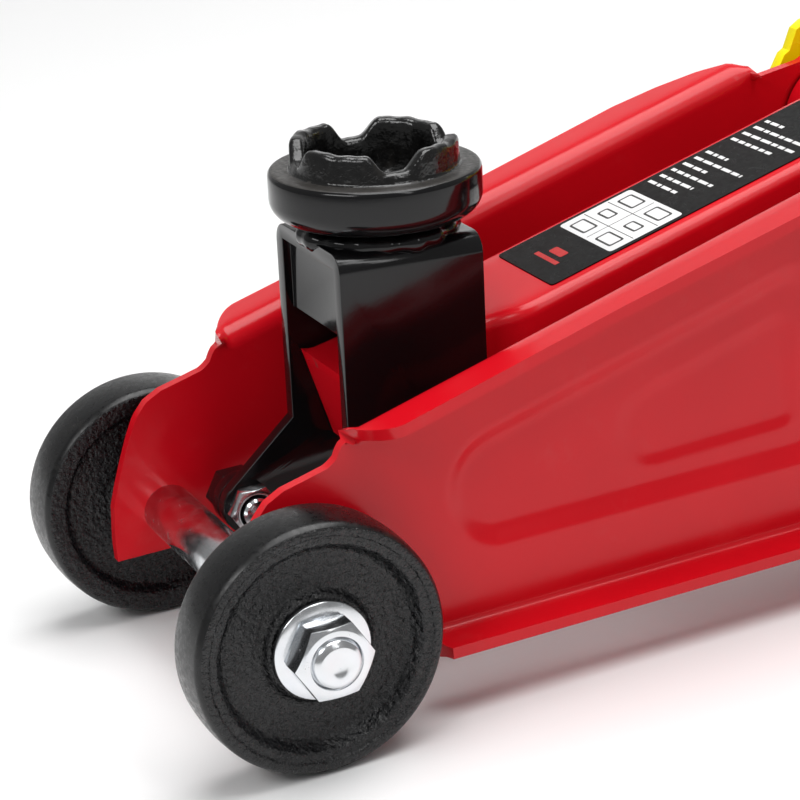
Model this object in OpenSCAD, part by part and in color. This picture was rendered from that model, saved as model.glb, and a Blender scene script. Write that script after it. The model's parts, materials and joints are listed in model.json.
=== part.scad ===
// Compact two tonne trolley jack: pressed side plates, a lift arm kept level by
// two link rods, and a hydraulic unit that is pumped by the handle yoke.
// Lengths are in millimetres. The front of the jack faces -Y and the floor is z = 0.

/* [Front wheels] */
// Diameter of a front wheel
wheel_d = 65; // [62:1:68]
// Width of a front wheel
wheel_w = 17; // [14:0.5:18]
// Distance between the outer faces of the two front wheels
track = 129; // [127:1:133]
// Diameter of the front axle
axle_d = 14; // [12:1:15]

/* [Frame] */
// Clear width between the side plates
frame_gap = 82.6; // [82:0.1:84]
// Thickness of the side plates
plate_t = 3; // [2.5:0.5:3]
// Outer half width of the folded flanges
flange_x = 57; // [54:1:60]
// Slope of the side plates' top edge, in degrees
top_slope = 14.5; // [13:0.5:15]
// Depth of the embossed panel
emboss = 2; // [1:0.5:2]

/* [Lifting gear] */
// Distance from the front axle back to the main shaft
shaft_y = 212; // [208:1:214]
// Height of the main shaft
shaft_z = 100; // [98:1:101]
// Distance from the front axle back to the bracket pin
pin_y = 50; // [49:1:51]
// Height of the bracket pin
pin_z = 60; // [59:1:61]
// How far the saddle leans back when the jack is down, in degrees
saddle_tilt = 3; // [0:0.5:3]
// Outer width of the saddle bracket
bracket_w = 41; // [40:0.5:41]
// Outer width of the lift arm
arm_w = 40; // [38:0.5:40]
// Diameter of the saddle
saddle_d = 54; // [50:1:56]

/* [Handle] */
// Angle of the handle above the floor, in degrees
handle_tilt = 50; // [48:1:52]
// Length of the handle from the main shaft
handle_len = 480; // [440:10:520]

/* [Hidden] */
$fn = 64;
cut = 1;
run_gap = 0.06;

red = [0.78, 0.05, 0.07];
black = [0.06, 0.06, 0.07];
zinc = [0.78, 0.8, 0.82];
steel = [0.6, 0.6, 0.62];
yellow = [0.98, 0.85, 0.05];

// The front axle is the design's own y = 0; the whole jack is then centred in Y
axle_p = [0, wheel_d / 2];
shaft_p = [shaft_y, shaft_z];
pin_p = [pin_y, pin_z];
link_front_p = [14.5, 38];
link_rear_p = shaft_p + link_front_p - pin_p;
grip_r = 16.5;
y_front = -wheel_d / 2;
y_rear = shaft_y + handle_len * cos(handle_tilt) + grip_r * sin(handle_tilt);
y_mid = (y_front + y_rear) / 2;

plate_in = frame_gap / 2;
plate_out = plate_in + plate_t;
wheel_out = track / 2;
hub_out = wheel_out - 2.3;
top_rise = tan(top_slope);
flange_step = 2.5;
plate_start = [21, 75.2];
ear_r = 20;

shaft_r = 10;
hub_r = 17;
lever_len = 46;
lever_back = 43;
lever_p = shaft_p + lever_len * [sin(lever_back), -cos(lever_back)];
lever_pin_r = 5.5;
ram_z = shaft_z - lever_len * (1 + cos(lever_back)) / 2;
ram_r = 10;

link_in = bracket_w / 2 + 0.3;
link_t = 4;
link_r = 7.5;
leg_t = 4;
leg_in = bracket_w / 2 - leg_t;
nose_x = leg_in - 0.7;
neck_y = pin_y + 22;

bracket_top = 111;
saddle_p = [51.2, bracket_top];
saddle_h = 16.2;
lug_h = 7.4;
lug_turn = 38;

roller_arm = 54;
roller_angle = 24;
roller_r = 8;
roller_p = shaft_p + roller_arm * [cos(roller_angle), sin(roller_angle)];
plunger_y = 267;
pump_x = -17;
plunger_top = roller_p.y - roller_r - 0.5;
block_y = 258;
block_end = 304;
block_top = 74;
cylinder_end = 388;

tie_p = [190, 28];
block_bolt_p = [281, ram_z];
valve_p = [17, 290];
filler_y = 330;

caster_p = [78, 375];
caster_trail = 12;
caster_r = 19;
caster_w = 14;
caster_plate_z = 50;

// ---------- helpers ----------

// Extrudes a side view, drawn as (y, z), along X from x0 to x1
module side(x0, x1) {
    translate([x0, 0, 0])
        rotate([90, 0, 90])
            linear_extrude(x1 - x0)
                children();
}

// Repeats what is drawn for the right-hand side on the left as well
module both() {
    children();
    mirror([1, 0, 0])
        children();
}

// A round bar along X
module rod(p, x0, x1, r) {
    side(x0, x1)
        translate(p)
            circle(r);
}

// A round tube along X
module tube(p, x0, x1, ro, ri) {
    side(x0, x1)
        translate(p)
            difference() {
                circle(ro);
                circle(ri);
            }
}

// A hexagon bar along X, sized across its flats
module hex_bar(p, x0, x1, flats) {
    side(x0, x1)
        translate(p)
            circle(flats / sqrt(3), $fn = 6);
}

// A bar outline with round ends of two radii and straight tangent sides
module bar(p, q, rp, rq) {
    d = norm(q - p);
    a = atan2(q.y - p.y, q.x - p.x);
    t = acos((rp - rq) / d);
    polygon([
        p + rp * [cos(a + t), sin(a + t)],
        q + rq * [cos(a + t), sin(a + t)],
        q + rq * [cos(a - t), sin(a - t)],
        p + rp * [cos(a - t), sin(a - t)]
    ]);
    translate(p)
        circle(rp);
    translate(q)
        circle(rq);
}

// Draws in the design frame and moves the result to the centred frame
module placed() {
    translate([0, -y_mid, 0])
        children();
}

// Leans the bracket and the saddle back about the bracket's top
module leaned() {
    translate([0, saddle_p.x, saddle_p.y])
        rotate([-saddle_tilt, 0, 0])
            translate([0, -saddle_p.x, -saddle_p.y])
                children();
}

// A point of the side view as the leaned bracket sees it
function unlean(p) = let (v = p - saddle_p, c = cos(saddle_tilt), s = sin(saddle_tilt))
    saddle_p + [v.x * c - v.y * s, v.x * s + v.y * c];

// Height of the side plate's top edge
function top_z(y) = plate_start.y + (y - plate_start.x) * top_rise;

// ---------- frame ----------

module plate_outline() {
    difference() {
        union() {
            polygon([
                [-15.5, 21.5], [-16, 28], [-14.5, 38], [-11, 48], [-8, 56], [-5, 61.5],
                [0, 65], [8, 67.3], [14.5, 69], [16.5, 71], [18, 74.2], plate_start,
                [182, top_z(182)], [187.5, 115.4], [193, 116.4], [shaft_y - 10, shaft_z + 17.32],
                shaft_p, [shaft_y + 17, shaft_z - 6], [240, 88], [258, 85], [340, 78],
                [380, 64], [398, 58], [398, 22], [392, 16], [34, 16], [28, 21.5]
            ]);
            translate(shaft_p)
                circle(ear_r);
        }
        translate(axle_p)
            circle(axle_d / 2 + run_gap);
        translate(shaft_p)
            circle(shaft_r + run_gap);
        translate(link_rear_p)
            circle(4 + run_gap);
        translate(tie_p)
            circle(5 + run_gap);
        translate(block_bolt_p)
            circle(5 + run_gap);
    }
}

// Points of an arc about c, from angle a0 to angle a1
function arc(c, r, a0, a1, n) = [
    for (i = [0:n]) let (a = a0 + (a1 - a0) * i / n) c + r * [cos(a), sin(a)]
];

// The embossed panel's outline: a round nose in front and round corners behind
module emboss_outline(grow) {
    r = 12 + grow;
    high = [144, top_z(144) - 27];
    low = [144, 48];
    polygon(concat(
        arc([60, 53], 17 + grow, 90 + top_slope, 258, 16),
        arc(low, r, 270, 360, 8),
        arc(high, r, 0, 90 + top_slope, 8)
    ));
}

module flange_plan() {
    polygon([
        [plate_in, 21.5], [plate_in + 1.5, 21.5], [flange_x - 1.5, 27.5], [flange_x, 90],
        [flange_x + 2, 150], [flange_x, 163], [52, 178], [46.5, 184.5], [plate_in, 186]
    ]);
}

module side_plate() {
    difference() {
        union() {
            side(plate_in, plate_out)
                plate_outline();
            side(plate_out - emboss - 1.8, plate_in + 0.5)
                emboss_outline(1.5);
            intersection() {
                side(plate_in + 0.5, flange_x + 5)
                    polygon([
                        [20, top_z(20) + flange_step - plate_t],
                        [20, top_z(20) + flange_step],
                        [190, top_z(190) + flange_step],
                        [190, top_z(190) + flange_step - plate_t]
                    ]);
                linear_extrude(200)
                    flange_plan();
            }
            translate([plate_in + 0.5, 35, 16.2])
                cube([flange_x - plate_in - 0.5, 303, plate_t]);
            rod(shaft_p, plate_out - cut, plate_out + 1.5, 16);
        }
        side(plate_out - emboss, plate_out + cut)
            emboss_outline(0);
        rod(shaft_p, plate_in - cut, plate_in + 1.5, 13);
        rod(shaft_p, plate_in, plate_out + 5, shaft_r + run_gap);
    }
}

module side_plate_right() {
    color(red)
        side_plate();
}

module side_plate_left() {
    color(red)
        mirror([1, 0, 0])
            side_plate();
}

module front_axle() {
    color(zinc) {
        rod(axle_p, -hub_out - 0.4, hub_out + 0.4, axle_d / 2);
        both()
            rod(axle_p, hub_out + 0.3, wheel_out + 9.7, 6);
    }
}

module axle_washers() {
    color(zinc)
        both()
            tube(axle_p, hub_out + 0.6, hub_out + 2.6, 12.5, 6.3);
}

module axle_nuts() {
    color(zinc)
        both()
            difference() {
                hex_bar(axle_p, hub_out + 2.7, hub_out + 10.2, 18);
                rod(axle_p, hub_out, hub_out + 12, 6.02);
            }
}

// A cast wheel: crowned tread, recessed web on both faces, raised hub
module cast_wheel() {
    r = wheel_d / 2;
    h = wheel_w / 2;
    bore = axle_d / 2 + run_gap;
    translate([wheel_out - h, 0, axle_p.y])
        rotate([0, 90, 0])
            rotate_extrude()
                polygon([
                    [bore, -h + 0.2], [13.5, -h + 0.2], [14, -h + 4], [26, -h + 4], [27, -h + 0.6],
                    [r - 1.2, -h], [r, -h + 1.2], [r, h - 1.2], [r - 1.2, h], [27, h - 0.6],
                    [26, h - 4.5], [14.5, h - 4.5], [14, h - 2.3], [bore, h - 2.3]
                ]);
}

module front_wheel_right() {
    color(black)
        cast_wheel();
}

module front_wheel_left() {
    color(black)
        mirror([1, 0, 0])
            cast_wheel();
}

module main_shaft() {
    color(zinc) {
        rod(shaft_p, -51.2, 51.2, shaft_r);
        both()
            rod(shaft_p, 51, 63, 8);
    }
}

module shaft_washers() {
    color(zinc)
        both()
            tube(shaft_p, 51.4, 53.4, 15, 8.3);
}

module shaft_nuts() {
    color(zinc)
        both()
            difference() {
                hex_bar(shaft_p, 53.5, 61.5, 24);
                rod(shaft_p, 50, 65, 8.02);
            }
}

module link_pivot_bolts() {
    color(zinc)
        both() {
            rod(link_rear_p, 34, plate_out + 0.3, 4);
            hex_bar(link_rear_p, plate_out + 0.2, plate_out + 5.5, 13);
        }
}

module spacer_tube() {
    color(zinc)
        tube(tie_p, -plate_in + 0.1, plate_in - 0.1, 7.5, 5.1);
}

module tie_bolt() {
    color(zinc) {
        rod(tie_p, -plate_out - 7, plate_out + 0.3, 5);
        hex_bar(tie_p, plate_out + 0.2, plate_out + 6.5, 16);
        hex_bar(tie_p, -plate_out - 6.5, -plate_out - 0.2, 16);
    }
}

module rear_cross_plate() {
    color(red)
        translate([-plate_in + 0.1, 346, 19])
            cube([2 * plate_in - 0.2, 50, 4]);
}

module caster_brackets() {
    color(red)
        both()
            difference() {
                linear_extrude(caster_plate_z + 4)
                    polygon([
                        [plate_out + 0.1, 345], [70, 356], [94, 356], [94, 394], [70, 394],
                        [plate_out + 0.1, 397]
                    ]);
                translate([0, 0, -cut])
                    linear_extrude(caster_plate_z + cut)
                        polygon([
                            [plate_out + 4, 330], [120, 330], [120, 420], [plate_out + 4, 420]
                        ]);
                translate([0, 330, -cut])
                    cube([100, 90, 30 + cut]);
                translate([caster_p.x, caster_p.y, 0])
                    cylinder(h = 100, r = 4 + run_gap);
            }
}

module king_pins() {
    color(zinc)
        both()
            translate([caster_p.x, caster_p.y, 0]) {
                translate([0, 0, 39.2])
                    cylinder(h = 2.7, r = 6.5);
                translate([0, 0, 41])
                    cylinder(h = 21, r = 4);
                translate([0, 0, caster_plate_z + 4.2])
                    cylinder(h = 6.5, r = 13 / sqrt(3), $fn = 6);
            }
}

module caster_fork() {
    axle_y = caster_p.y + caster_trail;
    difference() {
        union() {
            translate([caster_p.x, caster_p.y, 42.2])
                cylinder(h = 7.6, r = 12);
            translate([caster_p.x - 10.5, caster_p.y - 12, 42.2])
                cube([21, 24, 2.6]);
            for (x = [caster_p.x - 10.5, caster_p.x + 8])
                side(x, x + 2.5) {
                    bar([axle_y, caster_r], [caster_p.y + 5, 37.8], 6.5, 7);
                    bar([caster_p.y - 7, 39.8], [caster_p.y + 5, 37.8], 5, 7);
                }
        }
        translate([caster_p.x, caster_p.y, 0])
            cylinder(h = 100, r = 4 + run_gap);
        rod([axle_y, caster_r], 0, 200, 4 + run_gap);
    }
}

module caster_fork_right() {
    color(zinc)
        caster_fork();
}

module caster_fork_left() {
    color(zinc)
        mirror([1, 0, 0])
            caster_fork();
}

module caster_wheel() {
    h = caster_w / 2;
    translate([caster_p.x, caster_p.y + caster_trail, caster_r])
        rotate([0, 90, 0])
            rotate_extrude()
                polygon([
                    [4.06, -h + 0.2], [8, -h + 0.2], [8.5, -h + 2.5], [14, -h + 2.5], [14.5, -h],
                    [caster_r - 1.5, -h], [caster_r, -h + 1.5], [caster_r, h - 1.5],
                    [caster_r - 1.5, h], [14.5, h], [14, h - 2.5], [8.5, h - 2.5],
                    [8, h - 0.2], [4.06, h - 0.2]
                ]);
}

module caster_wheel_right() {
    color(black)
        caster_wheel();
}

module caster_wheel_left() {
    color(black)
        mirror([1, 0, 0])
            caster_wheel();
}

module caster_axle() {
    p = [caster_p.y + caster_trail, caster_r];
    rod(p, caster_p.x - 11.5, caster_p.x + 11.5, 4);
    for (x = [caster_p.x - 13.2, caster_p.x + 10.7])
        rod(p, x, x + 2.5, 6);
}

module caster_axle_right() {
    color(zinc)
        caster_axle();
}

module caster_axle_left() {
    color(zinc)
        mirror([1, 0, 0])
            caster_axle();
}

// ---------- lift arm ----------

arm_slope = 14.1;
arm_r = 20;
arm_nose = [33, 78];
arm_bend_y = 75;

// Height of the arm's top face, which is tangent to the arm's round rear end
function arm_top(y) = shaft_z + arm_r / cos(arm_slope) + (y - shaft_y) * tan(arm_slope);

module arm_outline() {
    polygon([
        arm_nose, [39.5, 53], [46, 50.2], [53, 50], [shaft_y - 16, 84],
        [shaft_y + 3, shaft_z - 19.7], shaft_p, [shaft_y - 4, arm_top(shaft_y - 4) - 0.2],
        [shaft_y - 5, arm_top(shaft_y - 5)], [arm_bend_y, arm_top(arm_bend_y)]
    ]);
    translate(pin_p)
        circle(10);
    translate(shaft_p)
        circle(arm_r);
}

// The hollow under the arm's top sheet, open downwards
module arm_hollow() {
    polygon([
        [37.5, 75.4], [43, 45], [53, 40], [250, 40], [250, arm_top(250) - 3.2],
        [arm_bend_y, arm_top(arm_bend_y) - 3.2]
    ]);
}

module lift_arm() {
    w = arm_w / 2;
    color(red)
        difference() {
            union() {
                difference() {
                    union() {
                        intersection() {
                            side(-nose_x, nose_x)
                                arm_outline();
                            translate([-w, 0, 0])
                                cube([2 * w, neck_y + 1, 200]);
                        }
                        intersection() {
                            side(-w, w)
                                arm_outline();
                            translate([-w, neck_y, 0])
                                cube([2 * w, 200, 200]);
                        }
                    }
                    intersection() {
                        side(-nose_x + 3, nose_x - 3)
                            arm_hollow();
                        translate([-w, 0, 0])
                            cube([2 * w, neck_y + 4, 200]);
                    }
                    intersection() {
                        side(-w + 3, w - 3)
                            arm_hollow();
                        translate([-w, neck_y + 3.5, 0])
                            cube([2 * w, 200, 200]);
                    }
                }
                rod(shaft_p, -plate_in + 0.8, plate_in - 0.8, hub_r);
                for (x = [-16.6, 10.6])
                    side(x, x + 6)
                        bar(shaft_p, lever_p, 18, 10.5);
            }
            rod(shaft_p, -100, 100, shaft_r + run_gap);
            rod(pin_p, -100, 100, 6 + run_gap);
            rod(lever_p, -100, 100, lever_pin_r + run_gap);
        }
}

module arm_label() {
    color(black)
        side(-15.6, 15.6)
            polygon([
                [91, arm_top(91)], [91, arm_top(91) + 0.4],
                [186, arm_top(186) + 0.4], [186, arm_top(186)]
            ]);
}

module lever_pin() {
    color(steel) {
        rod(lever_p, -16.6, 16.6, lever_pin_r);
        both()
            rod(lever_p, 16.5, 16.9, 4);
    }
}

// ---------- saddle bracket and saddle ----------

module bracket_side() {
    a = unlean(pin_p);
    b = unlean(link_front_p);
    front = saddle_p.x - 19.5;
    rear = saddle_p.x + 19.5;
    polygon([
        [front, bracket_top + 5], [rear, bracket_top + 5], [rear, a.y + 6],
        a + 13 * [cos(20), -sin(20)], a, b, b + link_r * [cos(160), sin(160)], [front, 58]
    ]);
    bar(a, b, 13, link_r);
}

module bracket_section() {
    w = bracket_w / 2;
    r = 5;
    difference() {
        union() {
            translate([-w, 0])
                square([2 * w, bracket_top - r]);
            translate([-w + r, 0])
                square([2 * (w - r), bracket_top]);
            for (x = [-w + r, w - r])
                translate([x, bracket_top - r])
                    circle(r);
        }
        translate([-leg_in, -cut])
            square([2 * leg_in, bracket_top - 4 + cut]);
    }
}

module saddle_bracket() {
    color(black)
        difference() {
            leaned() {
                intersection() {
                    translate([0, 120, 0])
                        rotate([90, 0, 0])
                            linear_extrude(120)
                                bracket_section();
                    side(-30, 30)
                        bracket_side();
                }
                translate([-leg_in - 0.5, saddle_p.x - 17.3, 88.5])
                    cube([2 * leg_in + 1, 3.5, bracket_top - 88.5 - 2]);
            }
            leaned()
                translate([0, saddle_p.x, 90])
                    cylinder(h = 40, r = 8 + run_gap);
            rod(pin_p, -50, 50, 6 + run_gap);
            rod(link_front_p, -50, 50, 4 + run_gap);
        }
}

module bracket_pin() {
    color(black)
        rod(pin_p, -bracket_w / 2, bracket_w / 2, 6);
}

module link_bolts() {
    color(black)
        both() {
            rod(link_front_p, leg_in - 5, link_in + link_t + 0.4, 4);
            hex_bar(link_front_p, link_in + link_t + 0.3, link_in + link_t + 5.8, 13);
        }
}

module link_nuts() {
    color(zinc)
        both()
            difference() {
                hex_bar(link_front_p, leg_in - 4.6, leg_in - 0.1, 12);
                rod(link_front_p, 0, 60, 4.02);
            }
}

// Crown of the saddle: a ring with four raised lugs
module saddle() {
    r = saddle_d / 2;
    color(black)
        leaned()
            translate([0, saddle_p.x, bracket_top]) {
                rotate_extrude()
                    polygon([
                        [0, -8.5], [8, -8.5], [8, 0.1], [r - 6, 0.1], [r - 2.2, 1.2], [r - 0.4, 4],
                        [r, 7], [r, saddle_h - 0.8], [r - 0.8, saddle_h], [r - 5, saddle_h],
                        [r - 5.6, saddle_h + 2.6], [r - 9.6, saddle_h + 2.2], [r - 12, 6.5],
                        [0, 6.5]
                    ]);
                for (a = [lug_turn:90:359])
                    rotate([0, 0, a])
                        intersection() {
                            translate([0, 0, saddle_h])
                                difference() {
                                    cylinder(h = lug_h, r = r - 5.6);
                                    translate([0, 0, -cut])
                                        cylinder(h = 2 * lug_h, r = r - 9.8);
                                }
                            translate([10, -9, 0])
                                cube([20, 18, 50]);
                        }
            }
}

module saddle_ring() {
    color(steel)
        leaned()
            translate([0, saddle_p.x, bracket_top - 7])
                difference() {
                    cylinder(h = 1.6, r = 11.5);
                    translate([0, 0, -cut])
                        cylinder(h = 5, r = 8.1);
                }
}

// ---------- link rods ----------

// Plan view of a link rod along its own length: thin ends at two widths, joggled between
module link_plan(len) {
    x1 = plate_in - 0.5;
    polygon([
        [0, x1 - link_t], [0, x1], [13, x1], [44, link_in + link_t],
        [len, link_in + link_t], [len, link_in], [43, link_in], [12, x1 - link_t]
    ]);
}

module link_rod() {
    x1 = plate_in - 0.5;
    v = link_rear_p - link_front_p;
    len = norm(v);
    difference() {
        union() {
            translate([0, link_rear_p.x, link_rear_p.y])
                rotate([atan2(v.y, v.x), 0, 0])
                    intersection() {
                        side(0, plate_in)
                            polygon([
                                [0, -8], [0, 8], [-len, link_r - 0.7], [-len, 0.7 - link_r]
                            ]);
                        translate([0, 0, -20])
                            linear_extrude(40)
                                rotate(-90)
                                    link_plan(len);
                    }
            rod(link_rear_p, x1 - link_t - 0.1, x1 + 0.1, 9);
            rod(link_front_p, link_in - 0.1, link_in + link_t + 0.1, link_r);
        }
        rod(link_rear_p, 0, 60, 4 + run_gap);
        rod(link_front_p, 0, 60, 4 + 0.3);
    }
}

module link_rod_right() {
    color(black)
        link_rod();
}

module link_rod_left() {
    color(black)
        mirror([1, 0, 0])
            link_rod();
}

// ---------- hydraulic unit ----------

// Anything round along Y at the ram's height
module along_y(y0, y1, r) {
    translate([0, y0, ram_z])
        rotate([-90, 0, 0])
            cylinder(h = y1 - y0, r = r);
}

module pump_block() {
    color(steel)
        difference() {
            union() {
                translate([-28, block_y, ram_z - 24])
                    cube([56, block_end - block_y, block_top - ram_z + 24]);
                rod(block_bolt_p, -plate_in + 0.1, plate_in - 0.1, 12);
            }
            along_y(block_y - cut, block_end + cut, ram_r + run_gap);
            both()
                rod(block_bolt_p, 29.5, 50, 5.05);
            translate([pump_x, plunger_y, 40])
                cylinder(h = 50, r = 5 + run_gap);
            translate([pump_x, plunger_y, block_top - 2])
                cylinder(h = 10, r = 8.05);
            translate([valve_p.x, valve_p.y, block_top - 10])
                cylinder(h = 20, r = 4.06);
        }
}

module rod_gland() {
    color(steel)
        difference() {
            along_y(block_y - 2.6, block_y, 13);
            along_y(block_y - 5, block_y + 5, ram_r + run_gap);
        }
}

module inner_cylinder() {
    color(steel)
        difference() {
            along_y(block_end, cylinder_end, 17);
            along_y(block_end - cut, cylinder_end + cut, 14);
        }
}

module reservoir() {
    color(red)
        difference() {
            along_y(block_end, cylinder_end, 28);
            along_y(block_end - cut, cylinder_end + cut, 25.5);
            translate([0, filler_y, ram_z])
                cylinder(h = 40, r = 4);
        }
}

module reservoir_cap() {
    color(red)
        along_y(cylinder_end, cylinder_end + 5, 28);
}

module filler_plug() {
    color(black)
        translate([0, filler_y, ram_z + 24.5]) {
            cylinder(h = 6, r = 3.95);
            translate([0, 0, 3.8])
                cylinder(h = 3.4, r = 6.5);
        }
}

module block_bolts() {
    color(zinc)
        both() {
            rod(block_bolt_p, 30, plate_out + 0.3, 5);
            hex_bar(block_bolt_p, plate_out + 0.2, plate_out + 6.6, 16);
        }
}

module pump_sleeve() {
    color(zinc)
        translate([pump_x, plunger_y, 0])
            difference() {
                translate([0, 0, block_top - 2])
                    cylinder(h = 8, r = 8);
                translate([0, 0, block_top - 5])
                    cylinder(h = 20, r = 5 + run_gap);
            }
}

module pump_plunger() {
    color(zinc)
        translate([pump_x, plunger_y, 0]) {
            translate([0, 0, plunger_top - 3])
                cylinder(h = 3, r = 11);
            translate([0, 0, block_top - 1.8])
                cylinder(h = plunger_top - block_top, r = 5);
        }
}

// A compression spring's envelope between the block and the plunger's head
module plunger_spring() {
    color(steel)
        translate([pump_x, plunger_y, block_top + 0.1])
            difference() {
                cylinder(h = plunger_top - 3 - block_top - 0.2, r = 10.6);
                translate([0, 0, -cut])
                    cylinder(h = 60, r = 8.8);
            }
}

module release_valve() {
    color(zinc)
        translate([valve_p.x, valve_p.y, 0]) {
            translate([0, 0, block_top - 9.5])
                cylinder(h = 25, r = 4);
            translate([-8, 0, block_top + 11])
                rotate([0, 90, 0])
                    cylinder(h = 16, r = 2.2);
        }
}

module piston_rod() {
    color(zinc)
        along_y(254.6, 376.9, ram_r);
}

module piston() {
    color(steel) {
        along_y(377, 380, 13.95);
        along_y(379, 384, 11);
        along_y(383, 387, 13.95);
    }
}

module piston_seal() {
    color(black)
        difference() {
            along_y(380.1, 382.9, 13.95);
            along_y(379, 384, 11.05);
        }
}

module ram_head() {
    slot = lever_pin_r + 1.8;
    low = shaft_z - lever_len - lever_pin_r - 1;
    high = lever_p.y + lever_pin_r + 1;
    color(steel)
        side(-8, 8)
            difference() {
                translate([lever_p.x - slot - 4, low - 4])
                    square([254.5 - lever_p.x + slot + 4, high - low + 8]);
                translate([lever_p.x - slot, low])
                    square([2 * slot, high - low]);
            }
}

// ---------- handle ----------

// Draws along the handle's own axis, with +X still to the right and +Z up the handle
module up_handle(s) {
    translate([0, shaft_p.x, shaft_p.y])
        rotate([handle_tilt - 90, 0, 0])
            translate([0, 0, s])
                children();
}

module yoke_ear() {
    circle(ear_r);
    polygon([
        [-16.6, 11], [-12, 18.4], [-10.2, 19.4], [-7.6, 25], [-4.5, 26.8], [10, 27.4],
        [19, 36], [24, 37], [41, 23], [40, 17.5], [14, -14.3], [0, 0]
    ]);
}

module handle_yoke() {
    lug = roller_p - shaft_p;
    color(yellow)
        difference() {
            union() {
                both()
                    side(46.5, 50.5)
                        translate(shaft_p)
                            yoke_ear();
                up_handle(34)
                    translate([-48, -8, 0])
                        cube([96, 26, 6]);
                up_handle(39)
                    cylinder(h = 57, r = 17);
                for (x = [pump_x - 13, pump_x + 9])
                    side(x, x + 4)
                        translate(shaft_p)
                            bar(lug, 44 * [cos(handle_tilt - 14), sin(handle_tilt - 14)], 7.5, 9);
            }
            rod(shaft_p, -100, 100, shaft_r + run_gap);
            up_handle(42)
                cylinder(h = 80, r = 13.6);
            rod(roller_p, pump_x - 20, pump_x + 20, 4 + run_gap);
            rod(roller_p, pump_x - 8.9, pump_x + 8.9, roller_r + 1.5);
            up_handle(84)
                rotate([90, 0, 0])
                    cylinder(h = 30, r = 4.02);
        }
}

module pump_roller() {
    color(steel)
        tube(roller_p, pump_x - 8.3, pump_x + 8.3, roller_r, 4 + run_gap);
}

module roller_pin() {
    color(zinc) {
        rod(roller_p, pump_x - 14.5, pump_x + 14.5, 4);
        for (x = [pump_x - 15.4, pump_x + 13.2])
            rod(roller_p, x, x + 2.2, 6);
    }
}

module lock_screw() {
    color(zinc)
        up_handle(84) {
            rotate([90, 0, 0])
                translate([0, 0, 13.55])
                    cylinder(h = 14, r = 4);
            rotate([90, 0, 0])
                translate([0, 0, 24])
                    cylinder(h = 7, r = 10);
        }
}

module lower_handle() {
    color(black)
        up_handle(42.2)
            difference() {
                cylinder(h = 218, r = 13.5);
                translate([0, 0, -cut])
                    cylinder(h = 220, r = 11.5);
            }
}

module upper_handle() {
    color(black)
        up_handle(222)
            difference() {
                union() {
                    cylinder(h = 45, r = 11.4);
                    translate([0, 0, 38.4])
                        cylinder(h = handle_len - 262, r = 13.5);
                }
                translate([0, 0, -cut])
                    cylinder(h = handle_len, r = 9.5);
            }
}

module handle_grip() {
    color(black)
        up_handle(handle_len - 120)
            difference() {
                cylinder(h = 120, r = grip_r);
                translate([0, 0, -cut])
                    cylinder(h = 118.4 + cut, r = 13.6);
            }
}

// ---------- what is drawn ----------

placed() side_plate_right();
placed() side_plate_left();
placed() front_axle();
placed() axle_washers();
placed() axle_nuts();
placed() front_wheel_right();
placed() front_wheel_left();
placed() main_shaft();
placed() shaft_washers();
placed() shaft_nuts();
placed() link_pivot_bolts();
placed() spacer_tube();
placed() tie_bolt();
placed() rear_cross_plate();
placed() caster_brackets();
placed() king_pins();
placed() caster_fork_right();
placed() caster_fork_left();
placed() caster_wheel_right();
placed() caster_wheel_left();
placed() caster_axle_right();
placed() caster_axle_left();
placed() lift_arm();
placed() arm_label();
placed() lever_pin();
placed() saddle_bracket();
placed() bracket_pin();
placed() link_bolts();
placed() link_nuts();
placed() saddle();
placed() saddle_ring();
placed() link_rod_right();
placed() link_rod_left();
placed() pump_block();
placed() rod_gland();
placed() inner_cylinder();
placed() reservoir();
placed() reservoir_cap();
placed() filler_plug();
placed() block_bolts();
placed() pump_sleeve();
placed() pump_plunger();
placed() plunger_spring();
placed() release_valve();
placed() piston_rod();
placed() piston();
placed() piston_seal();
placed() ram_head();
placed() handle_yoke();
placed() pump_roller();
placed() roller_pin();
placed() lock_screw();
placed() lower_handle();
placed() upper_handle();
placed() handle_grip();
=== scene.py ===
"""Look of the compact trolley jack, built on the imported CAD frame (metres)."""
import bpy
import bmesh
import json
import math
from mathutils import Matrix, Vector


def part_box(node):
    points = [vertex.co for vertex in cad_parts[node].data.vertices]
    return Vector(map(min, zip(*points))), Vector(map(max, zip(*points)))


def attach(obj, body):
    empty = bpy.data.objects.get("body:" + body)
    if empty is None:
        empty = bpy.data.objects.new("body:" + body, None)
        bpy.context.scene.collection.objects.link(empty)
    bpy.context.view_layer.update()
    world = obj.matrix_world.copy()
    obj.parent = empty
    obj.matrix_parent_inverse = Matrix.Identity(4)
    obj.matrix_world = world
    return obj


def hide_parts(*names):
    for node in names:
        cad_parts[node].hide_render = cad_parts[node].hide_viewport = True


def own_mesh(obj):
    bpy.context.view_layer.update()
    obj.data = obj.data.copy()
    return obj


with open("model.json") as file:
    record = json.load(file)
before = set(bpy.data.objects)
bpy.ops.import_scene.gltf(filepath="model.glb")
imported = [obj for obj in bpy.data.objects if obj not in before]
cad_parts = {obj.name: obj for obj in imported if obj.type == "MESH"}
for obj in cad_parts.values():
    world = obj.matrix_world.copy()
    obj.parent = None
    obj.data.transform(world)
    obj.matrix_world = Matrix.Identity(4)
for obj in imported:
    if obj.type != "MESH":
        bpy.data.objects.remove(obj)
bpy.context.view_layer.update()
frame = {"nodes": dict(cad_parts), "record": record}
nodes = frame["nodes"]

# ------------------------------------------------------------------ places
MM = 0.001
AXLE = (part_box("front_axle")[0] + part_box("front_axle")[1]) / 2
Y0 = AXLE.y            # the CAD's own y = 0 is the front axle
SHAFT_Y, SHAFT_Z = 212.0, 100.0


def at(x, y, z):
    """A point given in millimetres from the front axle's place on the floor."""
    return Vector((x * MM, Y0 + y * MM, z * MM))


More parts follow.
